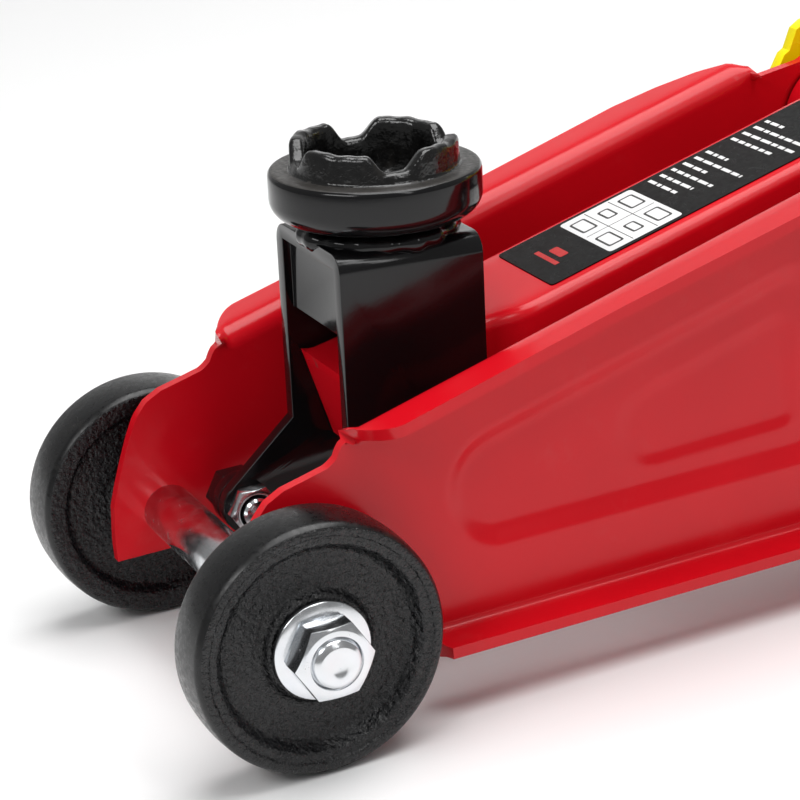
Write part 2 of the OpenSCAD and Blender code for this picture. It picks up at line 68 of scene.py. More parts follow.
# ------------------------------------------------------------------ materials
def new_mat(name):
    m = bpy.data.materials.new(name)
    m.use_nodes = True
    nt = m.node_tree
    nt.nodes.clear()
    out = nt.nodes.new("ShaderNodeOutputMaterial")
    bsdf = nt.nodes.new("ShaderNodeBsdfPrincipled")
    nt.links.new(bsdf.outputs[0], out.inputs[0])
    return m, nt, bsdf


def coords(nt):
    return nt.nodes.new("ShaderNodeTexCoord").outputs["Object"]


def noise(nt, scale, detail=4, rough=0.55, stretch=None):
    n = nt.nodes.new("ShaderNodeTexNoise")
    n.inputs["Scale"].default_value = scale
    n.inputs["Detail"].default_value = detail
    n.inputs["Roughness"].default_value = rough
    src = coords(nt)
    if stretch:
        mp = nt.nodes.new("ShaderNodeMapping")
        mp.inputs["Scale"].default_value = stretch
        nt.links.new(src, mp.inputs["Vector"])
        src = mp.outputs[0]
    nt.links.new(src, n.inputs["Vector"])
    return n.outputs["Fac"]


def ramp(nt, src, stops):
    r = nt.nodes.new("ShaderNodeValToRGB")
    e = r.color_ramp.elements
    while len(e) < len(stops):
        e.new(0.5)
    for el, (p, c) in zip(e, stops):
        el.position = p
        el.color = (c, c, c, 1) if isinstance(c, (int, float)) else (*c, 1)
    nt.links.new(src, r.inputs[0])
    return r.outputs[0]


def multiply(nt, a, b):
    n = nt.nodes.new("ShaderNodeMath")
    n.operation = "MULTIPLY"
    for k, v in enumerate((a, b)):
        if isinstance(v, (int, float)):
            n.inputs[k].default_value = v
        else:
            nt.links.new(v, n.inputs[k])
    return n.outputs[0]


def mix(nt, fac, a, b):
    n = nt.nodes.new("ShaderNodeMix")
    n.data_type = "RGBA"
    for k, v in ((0, fac), (6, a), (7, b)):
        if isinstance(v, tuple):
            n.inputs[k].default_value = (*v, 1)
        elif isinstance(v, (int, float)):
            n.inputs[k].default_value = v
        else:
            nt.links.new(v, n.inputs[k])
    return n.outputs[2]


def bump(nt, bsdf, parts):
    """Chains bump nodes; parts are (height, distance in metres, strength)."""
    last = None
    for h, dist, strength in parts:
        b = nt.nodes.new("ShaderNodeBump")
        b.inputs["Distance"].default_value = dist
        b.inputs["Strength"].default_value = strength
        nt.links.new(h, b.inputs["Height"])
        if last:
            nt.links.new(last, b.inputs["Normal"])
        last = b.outputs[0]
    nt.links.new(last, bsdf.inputs["Normal"])


def edge_mask(nt, lo, hi):
    g = nt.nodes.new("ShaderNodeNewGeometry")
    return ramp(nt, g.outputs["Pointiness"], [(lo, 0), (hi, 1)])


def grey(nt, src, lo, hi, at_lo=0.3, at_hi=0.7):
    """A noise value stretched to run from lo to hi."""
    n = nt.nodes.new("ShaderNodeMapRange")
    n.inputs["From Min"].default_value = at_lo
    n.inputs["From Max"].default_value = at_hi
    n.inputs["To Min"].default_value = lo
    n.inputs["To Max"].default_value = hi
    nt.links.new(src, n.inputs["Value"])
    return n.outputs[0]


def paint(name, base, rough=0.16, peel=0.000022, chip=None, wave=0.0001, gloss=0.5):
    """Gloss enamel: tone drift, faint dust, worn edges and an orange-peel skin."""
    m, nt, b = new_mat(name)
    dark = tuple(c * 0.84 for c in base)
    col = mix(nt, grey(nt, noise(nt, 14, 3), 0, 1), dark, base)
    dust = ramp(nt, noise(nt, 55, 6, 0.65), [(0.6, 0), (0.85, 1)])
    col = mix(nt, multiply(nt, dust, 0.05), col, (0.42, 0.34, 0.3))
    if chip:
        spots = ramp(nt, noise(nt, 190, 5), [(0.58, 0), (0.64, 1)])
        worn = multiply(nt, edge_mask(nt, 0.6, 0.68), spots)
        col = mix(nt, multiply(nt, worn, 0.5), col, chip)
    nt.links.new(col, b.inputs["Base Color"])
    nt.links.new(grey(nt, noise(nt, 30, 5), rough, rough + 0.1), b.inputs["Roughness"])
    b.inputs["Specular IOR Level"].default_value = gloss
    bump(nt, b, [(noise(nt, 760, 2, 0.5), peel, 1.0), (noise(nt, 70, 2, 0.4), wave, 0.5)])
    return m


def metal(name, base, rough=0.3, stretch=(1, 1, 1), scale=320, depth=0.000012, tint=None):
    """Bare or plated metal with machining lines and passivation stains."""
    m, nt, b = new_mat(name)
    col = mix(nt, grey(nt, noise(nt, 60, 5), 0, 1), tuple(c * 0.9 for c in base), base)
    if tint:
        patch = ramp(nt, noise(nt, 110, 4), [(0.45, 0), (0.65, 1)])
        col = mix(nt, multiply(nt, patch, 0.3), col, tint)
    nt.links.new(col, b.inputs["Base Color"])
    b.inputs["Metallic"].default_value = 1
    lines = noise(nt, scale, 5, 0.6, stretch)
    nt.links.new(grey(nt, lines, rough - 0.05, rough + 0.1), b.inputs["Roughness"])
    bump(nt, b, [(lines, depth, 0.35), (noise(nt, 900, 2), 0.000006, 0.6)])
    return m


def cast(name, base, rough, scale, depth, gloss=0.5):
    """Painted casting with a coarse glinting grain."""
    m, nt, b = new_mat(name)
    grain = noise(nt, scale, 3, 0.6)
    col = mix(nt, grey(nt, grain, 0, 1), tuple(c * 0.55 for c in base), base)
    dust = ramp(nt, noise(nt, 120, 5, 0.7), [(0.58, 0), (0.8, 1)])
    col = mix(nt, multiply(nt, dust, 0.06), col, (0.3, 0.27, 0.24))
    nt.links.new(col, b.inputs["Base Color"])
    nt.links.new(grey(nt, noise(nt, scale * 1.7, 2), rough - 0.08, rough + 0.12), b.inputs["Roughness"])
    b.inputs["Specular IOR Level"].default_value = gloss
    bump(nt, b, [(grain, depth, 0.8), (noise(nt, 90, 3), 0.0002, 0.3)])
    return m


def plain(name, base, rough=0.5, scale=500, depth=0.00006, gloss=0.5):
    """Moulded or printed material with a fine tooth."""
    m, nt, b = new_mat(name)
    g = noise(nt, scale, 3)
    col = mix(nt, grey(nt, noise(nt, 40, 4), 0, 1), tuple(c * 0.85 for c in base), base)
    nt.links.new(col, b.inputs["Base Color"])
    nt.links.new(grey(nt, g, rough - 0.08, rough + 0.1), b.inputs["Roughness"])
    b.inputs["Specular IOR Level"].default_value = gloss
    bump(nt, b, [(g, depth, 0.5)])
    return m


RED = paint("red_enamel", (0.66, 0.004, 0.012), chip=(0.12, 0.05, 0.05), gloss=0.34)
BLACK = paint("black_gloss", (0.0045, 0.0045, 0.005), 0.07, 0.00001, None, 0.00012, 0.4)
YELLOW = paint("yellow_enamel", (1.0, 0.86, 0.0), 0.2, chip=(0.2, 0.17, 0.12), gloss=0.4)
CAST = cast("black_casting", (0.005, 0.005, 0.006), 0.24, 620, 0.0013, 0.5)
TREAD = cast("turned_tread", (0.006, 0.006, 0.0065), 0.3, 420, 0.00003, 0.4)
CROWN = cast("saddle_casting", (0.0045, 0.0043, 0.0042), 0.16, 300, 0.0004, 0.6)
DUSTY = cast("saddle_dusty", (0.03, 0.027, 0.024), 0.42, 520, 0.0001)
ZINC = metal("zinc_plate", (0.82, 0.84, 0.86), 0.18, depth=0.000006, tint=(0.76, 0.8, 0.87))
STEEL = metal("turned_steel", (0.56, 0.56, 0.58), 0.3)
CHROME = metal("ground_rod", (0.72, 0.72, 0.74), 0.12, (1, 6, 1))
RUBBER = plain("seal_rubber", (0.012, 0.012, 0.012), 0.6)
FOAM = plain("grip_rubber", (0.012, 0.012, 0.013), 0.6, 900, 0.00012)
NYLON = plain("black_nylon", (0.011, 0.011, 0.012), 0.36)
FILM = plain("label_film", (0.002, 0.002, 0.002), 0.32, depth=0.00001, gloss=0.1)
WHITE = plain("label_white", (0.86, 0.86, 0.86), 0.4)
INK = plain("label_ink", (0.03, 0.03, 0.03), 0.45)
MARK = plain("label_red", (0.55, 0.01, 0.01), 0.4)

look = {
    RED: ["side_plate_right", "side_plate_left", "rear_cross_plate", "caster_brackets", "lift_arm",
          "reservoir", "reservoir_cap"],
    BLACK: ["saddle_bracket", "bracket_pin", "link_bolts", "saddle", "link_rod_right",
            "link_rod_left", "lower_handle", "upper_handle", "filler_plug"],
    CAST: ["front_wheel_right", "front_wheel_left"],
    ZINC: ["front_axle", "axle_washers", "axle_nuts", "main_shaft", "shaft_washers", "shaft_nuts",
           "link_pivot_bolts", "spacer_tube", "tie_bolt", "king_pins", "caster_fork_right",
           "caster_fork_left", "caster_axle_right", "caster_axle_left", "link_nuts",
           "block_bolts", "pump_sleeve", "release_valve", "roller_pin", "lock_screw"],
    STEEL: ["lever_pin", "saddle_ring", "pump_block", "rod_gland", "inner_cylinder", "piston",
            "ram_head", "pump_roller", "pump_plunger", "plunger_spring"],
    CHROME: ["piston_rod"],
    YELLOW: ["handle_yoke"],
    FILM: ["arm_label"],
    RUBBER: ["piston_seal"],
    FOAM: ["handle_grip"],
    NYLON: ["caster_wheel_right", "caster_wheel_left"],
}
for m, names in look.items():
    for n in names:
        mesh = nodes[n].data
        mesh.materials.clear()
        mesh.materials.append(m)

# ------------------------------------------------------------------ stage
sc = bpy.context.scene
floor_mat, nt, b = new_mat("studio_floor")
b.inputs["Base Color"].default_value = (0.9, 0.9, 0.9, 1)
b.inputs["Roughness"].default_value = 0.6
bm = bmesh.new()
rows = []
for k in range(25):
    t = k / 24
    if t < 0.4:
        y, z = -3 + 7 * t / 0.4 * 0.75, 0
    else:
        a = (t - 0.4) / 0.6 * math.pi / 2
        y, z = 2.25 + 1.5 * math.sin(a), 1.5 * (1 - math.cos(a))
    rows.append([bm.verts.new((x, y, z)) for x in (-4, 0, 4)])
top = [bm.verts.new((x, 3.75, 4.5)) for x in (-4, 0, 4)]
rows.append(top)
for r0, r1 in zip(rows, rows[1:]):
    for c in range(2):
        bm.faces.new((r0[c], r0[c + 1], r1[c + 1], r1[c]))
me = bpy.data.meshes.new("floor")
bm.to_mesh(me)
bm.free()
floor = bpy.data.objects.new("floor", me)
sc.collection.objects.link(floor)
me.materials.append(floor_mat)
for p in me.polygons:
    p.use_smooth = True
floor.rotation_euler = (0, 0, math.radians(67.4))

world = bpy.data.worlds.new("studio")
sc.world = world
world.use_nodes = True
world.node_tree.nodes["Background"].inputs[0].default_value = (1, 1, 1, 1)
world.node_tree.nodes["Background"].inputs[1].default_value = 0.26
sc.view_settings.view_transform = "Standard"


def light(name, where, towards, size, power):
    d = bpy.data.lights.new(name, "AREA")
    d.shape = "RECTANGLE"
    d.size, d.size_y = size
    d.energy = power
    o = bpy.data.objects.new(name, d)
    sc.collection.objects.link(o)
    o.location = where
    o.rotation_euler = (Vector(towards) - Vector(where)).to_track_quat("-Z", "Y").to_euler()


light("top", (0.0, 0.15, 1.7), (-0.05, 0, 0.0), (1.5, 1.3), 30)
light("key", (0.5, -1.3, 1.2), (0, -0.15, 0.05), (0.9, 0.5), 8)
light("backdrop", (-1.1, 0.7, 1.1), (-2.6, 1.4, 0.5), (1.6, 1.2), 40)
light("strip", (1.3, 0.2, 1.5), (0, -0.1, 0.05), (0.16, 1.5), 4)

# ------------------------------------------------------------------ camera
AZ, EL, ROLL = (math.radians(v) for v in (67.38, 20.69, -5.73))
back = Vector((math.sin(AZ) * math.cos(EL), -math.cos(AZ) * math.cos(EL), math.sin(EL)))
right = Vector((math.cos(AZ), math.sin(AZ), 0))
up = back.cross(right)
r2 = math.cos(ROLL) * right + math.sin(ROLL) * up
u2 = -math.sin(ROLL) * right + math.cos(ROLL) * up
cam_data = bpy.data.cameras.new("camera")
cam_data.lens = 130.66
cam_data.sensor_width = 36
cam_data.clip_start = 0.01
cam = bpy.data.objects.new("camera", cam_data)
sc.collection.objects.link(cam)
cam.matrix_world = Matrix.Translation(at(646.8, -216.9, 328.3)) @ Matrix(
    (r2, u2, back)).transposed().to_4x4()
sc.camera = cam

# ------------------------------------------------------------------ building tools
def put(name, bm, mat, body, smooth=True, replaces=(), crease=None):
    """Turns a bmesh into a piece of one body; mat is a material or a list of them."""
    me = bpy.data.meshes.new(name)
    bmesh.ops.recalc_face_normals(bm, faces=bm.faces)
    bm.to_mesh(me)
    bm.free()
    o = bpy.data.objects.new(name, me)
    sc.collection.objects.link(o)
    for m in mat if isinstance(mat, (list, tuple)) else [mat]:
        me.materials.append(m)
    for p in me.polygons:
        p.use_smooth = smooth
    if crease:
        me.set_sharp_from_angle(angle=math.radians(crease))
    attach(o, body)
    if replaces:
        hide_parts(*replaces)
    return o


def bevel(o, width, segments=2, angle=32):
    b = o.modifiers.new("bevel", "BEVEL")
    b.width = width * MM
    b.segments = segments
    b.use_clamp_overlap = True
    b.harden_normals = True
    b.limit_method = "ANGLE"
    b.angle_limit = math.radians(angle)
    return o


def refine(node, width=0.6, segments=2, angle=32):
    """A copy of a CAD node with its flat faces cleaned and its edges rounded."""
    src = nodes[node]
    bm = bmesh.new()
    bm.from_mesh(src.data)
    bmesh.ops.remove_doubles(bm, verts=bm.verts, dist=2e-6)
    bmesh.ops.dissolve_limit(bm, angle_limit=math.radians(1.2), verts=bm.verts, edges=bm.edges)
    o = put(node + ".fine", bm, src.data.materials[0], body_of[node], True, (node,))
    return bevel(o, width, segments, angle)


def measure(node):
    """Centre of a CAD node, and in millimetres its half width along X and half height."""
    lo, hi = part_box(node)
    return (lo + hi) / 2, (hi.x - lo.x) / 2 / MM, (hi.z - lo.z) / 2 / MM


def grid(bm, cols):
    """Joins neighbouring rows of vertices with four-sided faces."""
    for c0, c1 in zip(cols, cols[1:]):
        for i in range(len(c0) - 1):
            bm.faces.new((c0[i], c1[i], c1[i + 1], c0[i + 1]))


def basis(axis):
    """Unit vectors along an axis and across it; angle 0 points to +Y, or +X on an upright axis."""
    a = Vector(axis).normalized()
    u = Vector((0, 1, 0)) if abs(a.x) > 0.9 else Vector((1, 0, 0))
    u = (u - a * u.dot(a)).normalized()
    return a, u, a.cross(u)


def turn(bm, centre, axis, segments, profile, closed=True):
    """Turns profile(angle), a list of (radius, along) in millimetres, about an axis."""
    a, u, v = basis(axis)
    rings = []
    for k in range(segments):
        t = 2 * math.pi * k / segments
        d = u * math.cos(t) + v * math.sin(t)
        rings.append([bm.verts.new(centre + (d * r + a * h) * MM) for r, h in profile(t)])
    n = len(rings[0])
    for k in range(segments):
        r0, r1 = rings[k], rings[(k + 1) % segments]
        for i in range(n if closed else n - 1):
            j = (i + 1) % n
            bm.faces.new((r0[i], r0[j], r1[j], r1[i]))
    bmesh.ops.remove_doubles(bm, verts=bm.verts, dist=1e-7)


def lathe(bm, profile, centre, axis, segments=96, closed=True):
    turn(bm, centre, axis, segments, lambda t: profile, closed)


def rounded(points, radius, steps=3):
    """Rounds the corners of a closed profile of (a, b) points."""
    out = []
    n = len(points)
    for i, p in enumerate(points):
        r = radius[i] if isinstance(radius, (list, tuple)) else radius
        p = Vector(p)
        a = Vector(points[i - 1]) - p
        b = Vector(points[(i + 1) % n]) - p
        cut = min(r, a.length * 0.45, b.length * 0.45)
        if cut < 1e-4:
            out.append(tuple(p))
            continue
        pa, pb = p + a.normalized() * cut, p + b.normalized() * cut
        for k in range(steps + 1):
            t = k / steps
            q = pa.lerp(p, t).lerp(p.lerp(pb, t), t)
            out.append((q.x, q.y))
    return out


record = frame["record"]
body_of = {n: b for b, ns in record["behaviour"]["bodies"].items() for n in ns}


def along(points, y):
    """Straight-line value between (y, value) points."""
    for (a, va), (b, vb) in zip(points, points[1:]):
        if a <= y <= b:
            return va + (vb - va) * (y - a) / (b - a)
    return points[0][1] if y < points[0][0] else points[-1][1]


def step(t):
    """A smooth rise from 0 to 1."""
    t = min(1.0, max(0.0, t))
    return t * t * (3 - 2 * t)


# ------------------------------------------------------------------ side plates
PLATE_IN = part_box("side_plate_right")[0].x / MM + 0.4
PLATE_T = 3.0
HALF_T = PLATE_T / 2
FOLD_R = 4.2
TOP_Y, TOP_Z, TOP_SLOPE = 21, 75.2, math.radians(14.5)
EAR_R = 20.0
FLANGE_START, FLANGE_FULL = 20.5, 31
BOSS_R, BOSS_RISE, BOSS_WALL = 17.5, 1.5, 1.8
outline_top = [(-16, 27), (-15.3, 36), (-13.4, 42), (-11.2, 48), (-8.4, 55), (-5.8, 60.2),
               (-2.5, 63.8), (2, 66.1), (8, 67.5), (14, 69), (16.3, 70.6), (17.8, 73.6),
               (20.5, 75.3)]
outline_tail = [(202, 88), (229, 94), (240, 88), (258, 85), (340, 78), (380, 64), (398, 58)]
flange_width = [(31, 13.2), (90, 12.7), (150, 14.7), (163, 13), (175, 9.5), (182, 5), (186, 0)]
LEDGE_START, LEDGE_Y, LEDGE_Z, LEDGE_RISE, LEDGE_END = 182, 187.5, 115.4, 0.13, 202
FRONT_BOTTOM, BOTTOM = 21.5, 16.0
FOOT_START, FOOT_END, FOOT_WIDTH = 34.5, 338.5, 12.7


def top_z(y):
    """Height of the sloping top edge."""
    return TOP_Z + (y - TOP_Y) * math.tan(TOP_SLOPE)


def ear_top(y):
    """Top of the round ear around the main shaft, or 0 away from it."""
    if abs(y - SHAFT_Y) >= EAR_R:
        return 0
    return SHAFT_Z + math.sqrt(EAR_R ** 2 - (y - SHAFT_Y) ** 2)


def plate_top(y):
    if y <= FLANGE_START:
        return along(outline_top, y)
    if y <= LEDGE_START:
        return top_z(y)
    if y <= LEDGE_Y:
        return along([(LEDGE_START, top_z(LEDGE_START)), (LEDGE_Y, LEDGE_Z)], y)
    if y <= LEDGE_END:
        return max(LEDGE_Z + (y - LEDGE_Y) * LEDGE_RISE, ear_top(y))
    return max(along(outline_tail, y), ear_top(y))


def plate_bottom(y):
    """Height of the lower edge: a raised front, a ramp down, and a cut rear corner."""
    if y < 28:
        return FRONT_BOTTOM
    if y < 34:
        return FRONT_BOTTOM - (y - 28) / 6 * (FRONT_BOTTOM - BOTTOM)
    if y < 392:
        return BOTTOM
    return BOTTOM + (y - 392)


def flange_top(y):
    """Width of the folded top flange."""
    if y <= FLANGE_START:
        return 0.0
    if y < FLANGE_FULL:
        share = (y - FLANGE_START) / (FLANGE_FULL - FLANGE_START)
        return 0.5 + 12.7 * math.sin(share * math.pi / 2) ** 0.8
    return along(flange_width, y)


def flange_bottom(y):
    """Width of the folded foot, rounded off at both ends."""
    if y < FOOT_START or y > FOOT_END:
        return 0.0
    return FOOT_WIDTH * min(1, (y - FOOT_START) / 2.5, (FOOT_END - y) / 2.5) ** 0.5


def hull_distance(p, pts):
    """Signed distance inside a convex outline, positive inside (anticlockwise points)."""
    best = 1e9
    n = len(pts)
    for i in range(n):
        a, b = pts[i], pts[(i + 1) % n]
        ex, ey = b[0] - a[0], b[1] - a[1]
        length = math.hypot(ex, ey)
        if length < 1e-6:
            continue
        d = (ex * (p[1] - a[1]) - ey * (p[0] - a[0])) / length
        best = min(best, d)
    return best


def arc(c, r, a0, a1, n):
    return [(c[0] + r * math.cos(math.radians(a0 + (a1 - a0) * i / n)),
             c[1] + r * math.sin(math.radians(a0 + (a1 - a0) * i / n))) for i in range(n + 1)]


def panel(nose, r, high_drop, low, end, rc):
    """Outline of a pressed panel: a round nose, and two corners of radius rc at the rear end."""
    hi = (end, top_z(end) - high_drop - rc)
    return (arc(nose, r, 104.5, 258, 16) + arc((end, low + rc), rc, 270, 360, 8)
            + arc(hi, rc, 0, 104.5, 8))


outer_panel = panel((60, 53), 17, 15, 36, 144, 12)
inner_panel = panel((104, 57), 12, 27, 46, 140, 7)


def wall(t, crisp=0.14, straight=0.5):
    """Rise of a pressed step: a tight bend at its lip and an open one at its foot."""
    t = min(1.0, max(0.0, t))
    area = crisp / 2 + (straight - crisp) + (1 - straight) / 2
    if t < crisp:
        return t * t / (2 * crisp) / area
    if t < straight:
        return (crisp / 2 + t - crisp) / area
    left = 1 - t
    return 1 - left * left / (2 * (1 - straight)) / area


def press(y, z):
    """How far the sheet is pushed outwards, in millimetres."""
    d = 0.0
    if 38 < y < 162 and z > 30:
        d -= 2.3 * wall(hull_distance((y, z), outer_panel) / 7.5)
        d -= 1.1 * wall(hull_distance((y, z), inner_panel) / 5.5)
    r = math.hypot(y - SHAFT_Y, z - SHAFT_Z)
    if r < BOSS_R:
        d += BOSS_RISE * step((BOSS_R - r) / BOSS_WALL)
    return d


LOW_ROWS, MID_ROWS, HIGH_ROWS = 34, 10, 40


def row_heights(z0, z1):
    """Rows keep parallel to the bottom edge below and to the top edge above."""
    h = z1 - z0
    low, high = min(32, 0.46 * h), min(34, 0.46 * h)
    out = [z0 + low * k / LOW_ROWS for k in range(LOW_ROWS)]
    out += [z0 + low + (h - low - high) * k / MID_ROWS for k in range(MID_ROWS)]
    return out + [z1 - high + high * k / HIGH_ROWS for k in range(HIGH_ROWS + 1)]


def plate_column(y):
    """The plate's middle line at y as (x, z) points, from the foot's edge to the top flange's edge."""
    mid = PLATE_IN + HALF_T
    zb, zt = plate_bottom(y), plate_top(y)
    wt, wb = flange_top(y), flange_bottom(y)
    rt, rb = min(FOLD_R, wt * 0.8), min(3.2, wb * 0.8)
    col = []
    if wb > 0:
        for t in (1.0, 0.66, 0.33):
            col.append((mid + rb + (wb - rb) * t, zb + HALF_T))
        for k in range(5):
            a = math.pi / 2 * k / 5
            col.append((mid + rb - rb * math.sin(a), zb + HALF_T + rb - rb * math.cos(a)))
    else:
        col += [(mid, zb)] * 8
    z0 = zb + (HALF_T + rb if wb > 0 else 0)
    z1 = zt + (1.0 - rt if wt > 0 else 0)
    col += [(mid + press(y, z), z) for z in row_heights(z0, z1)]
    if wt > 0:
        for k in range(1, 6):
            a = math.pi / 2 * k / 5
            col.append((mid + rt - rt * math.cos(a), z1 + rt * math.sin(a)))
        for t in (0.33, 0.66, 1.0):
            col.append((mid + rt + (wt - rt) * t, z1 + rt))
    else:
        col += [(mid, z1)] * 8
    return col


def side_plate(name, node, sign):
    """A pressed sheet; the columns lie closer together where the outline or panel bends."""
    ys = []
    y = -16.0
    while y < 398:
        ys.append(y)
        fine = y < 82 or 140 < y < 164 or 178 < y < 240
        y += 0.9 if fine else 2.4
    ys.append(398.0)
    bm = bmesh.new()
    cols = [[bm.verts.new(at(sign * x, y, z)) for x, z in plate_column(y)] for y in ys]
    grid(bm, cols)
    bmesh.ops.remove_doubles(bm, verts=bm.verts, dist=2e-5)
    o = put(name, bm, RED, "frame", True, (node,))
    s = o.modifiers.new("thickness", "SOLIDIFY")
    s.thickness = PLATE_T * MM
    s.offset = 0
    s.use_even_offset = True
    bevel(o, 0.5, 2, 50)


side_plate("plate_right", "side_plate_right", 1)
side_plate("plate_left", "side_plate_left", -1)


# ------------------------------------------------------------------ front wheels
def front_wheel(name, node, sign):
    c, h, r = measure(node)
    profile = [(7.06, -h + 0.3), (11.8, -h + 0.3), (12.6, -h + 3.8), (24.8, -h + 4), (26.4, -h + 0.8),
               (r - 1.6, -h + 0.1), (r - 0.5, -h + 1.6), (r, 0), (r - 0.5, h - 1.6),
               (r - 1.6, h), (r - 3.4, h), (r - 3.9, h - 0.7), (26.6, h - 0.7), (24.4, h - 4.8),
               (14.4, h - 4.8), (13.2, h - 2.4), (7.06, h - 2.4)]
    bm = bmesh.new()
    radii = [0.3, 0.6, 0.9, 0.9, 0.5, 0.6, 0.8, 6, 0.8, 0.6, 0.4, 0.4, 0.9, 1.4, 1.2, 0.8, 0.3]
    lathe(bm, rounded(profile, radii), c, (sign, 0, 0), 128)
    for f in bm.faces:
        m = f.calc_center_median() - c
        rad = math.hypot(m.y, m.z) / MM
        f.material_index = 1 if rad > r - 1.4 else 0
    put(name, bm, [CAST, TREAD], body_of[node], True, (node,))


front_wheel("wheel_right_cast", "front_wheel_right", 1)
front_wheel("wheel_left_cast", "front_wheel_left", -1)

# ------------------------------------------------------------------ nuts, studs and threads
def hexagon(bm, centre, axis, flats, h0, h1, bore):
    """A chamfered nut between two heights; a bore of 0 makes a bolt head with a shallow dish."""
    top = 0.465 * flats

    def profile(t):
        corner = flats / 2 / math.cos(math.radians(math.degrees(t) % 60 - 30))
        drop = max(0.0, corner - top) * math.tan(math.radians(30))
        if bore:
            inner = [(bore, h0 + 0.6), (bore, h1 - 0.8), (bore + 0.8, h1)]
        else:
            inner = [(0, h0), (0, h1 - 0.5), (top * 0.62, h1 - 0.5), (top * 0.74, h1)]
        return inner + [(top - 0.3, h1), (top, h1 - 0.08), (corner - 0.1, h1 - drop - 0.02),
                        (corner, h1 - drop - 0.25), (corner, h0 + drop * 0.6 + 0.2), (top, h0),
                        (bore + 0.5 if bore else 0.01, h0)]

    turn(bm, centre, axis, 96, profile)


def thread(r, h0, h1, pitch=0.9, depth=0.38):
    """Ridges of a thread from h0 to h1, ending in a chamfered and dimpled face."""
    out = [(r - depth, h0)]
    h = h0
    while h < h1 - 1.3:
        out += [(r, h + pitch * 0.35), (r, h + pitch * 0.5), (r - depth, h + pitch * 0.9)]
        h += pitch
    return out + [(r - 0.1, h1 - 1.0), (r - 1.0, h1 - 0.1), (r - 1.5, h1), (r * 0.5, h1),
                  (r * 0.38, h1 - 0.35), (r * 0.2, h1 - 0.6), (0, h1 - 0.7)]


def nut_pair(node, flats, bore, thick):
    """Both nuts of a CAD pair, from their own box."""
    c, half, _ = measure(node)
    bm = bmesh.new()
    for s in (1, -1):
        hexagon(bm, Vector((0, c.y, c.z)), (s, 0, 0), flats, half - thick, half, bore)
    put(node + ".turned", bm, ZINC, body_of[node], True, (node,), crease=24)


nut_pair("axle_nuts", 18, 6.0, 7.5)
nut_pair("shaft_nuts", 24, 8.0, 8.0)


def link_nut_pair(node, flats, thick):
    """Small nuts inside the bracket's legs, each around the domed end of its bolt."""
    lo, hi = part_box(node)
    c = (lo + hi) / 2
    bm = bmesh.new()
    for s in (1, -1):
        foot = Vector((s * hi.x, c.y, c.z))
        hexagon(bm, foot, (-s, 0, 0), flats, 0, thick, 4.1)
        dome = [(0, thick - 1), (3.9, thick - 1), (3.9, thick + 0.5), (3.3, thick + 1.1),
                (1.8, thick + 1.6), (0, thick + 1.7)]
        lathe(bm, dome, foot, (-s, 0, 0), 48, closed=False)
    put(node + ".turned", bm, ZINC, body_of[node], True, (node,), crease=24)


link_nut_pair("link_nuts", 12, 4.5)


def washer_pair(node, bore, dish):
    c, half, r = measure(node)
    corners = [(bore, half - 2), (r, half - 2), (r, half - dish), (r * 0.8, half), (bore, half)]
    prof = rounded(corners, [0.2, 0.3, 0.4, 1.5, 0.3])
    bm = bmesh.new()
    for s in (1, -1):
        lathe(bm, prof, Vector((0, c.y, c.z)), (s, 0, 0), 96)
    put(node + ".turned", bm, ZINC, body_of[node], True, (node,), crease=40)


washer_pair("axle_washers", 6.3, 0.7)
washer_pair("shaft_washers", 8.3, 0.5)


def shaft_with_studs(node, r, r_end, shoulder, bare):
    """A turned shaft whose two thinner ends are threaded from bare outwards."""
    c, half, _ = measure(node)
    side = [(r, shoulder - 0.8), (r - 0.8, shoulder), (r_end, shoulder), (r_end, bare)]
    side += thread(r_end, bare, half)
    prof = [(a, -b) for a, b in reversed(side)] + side
    bm = bmesh.new()
    lathe(bm, prof, c, (1, 0, 0), 72, closed=False)
    put(node + ".turned", bm, ZINC, body_of[node], True, (node,), crease=50)


shaft_with_studs("front_axle", 7, 6, 62.4, 64)
shaft_with_studs("main_shaft", 10, 8, 51, 54)

# ------------------------------------------------------------------ saddle
record_saddle = next(j for j in record["behaviour"]["joints"] if j["name"] == "saddle_turn")
SEAT = Vector(record_saddle["pos_m"])
UPRIGHT = Vector(record_saddle["axis"])
SADDLE_R = measure("saddle")[1]
RIM = 16.2
LUG_RISE = 7.2
LUG_TURN = 38


def lug(t):
    """Height share of the crown at an angle: four broad lugs with sloping ends."""
    off = abs((math.degrees(t) - LUG_TURN + 45) % 90 - 45)
    return step((39 - off) / 16)


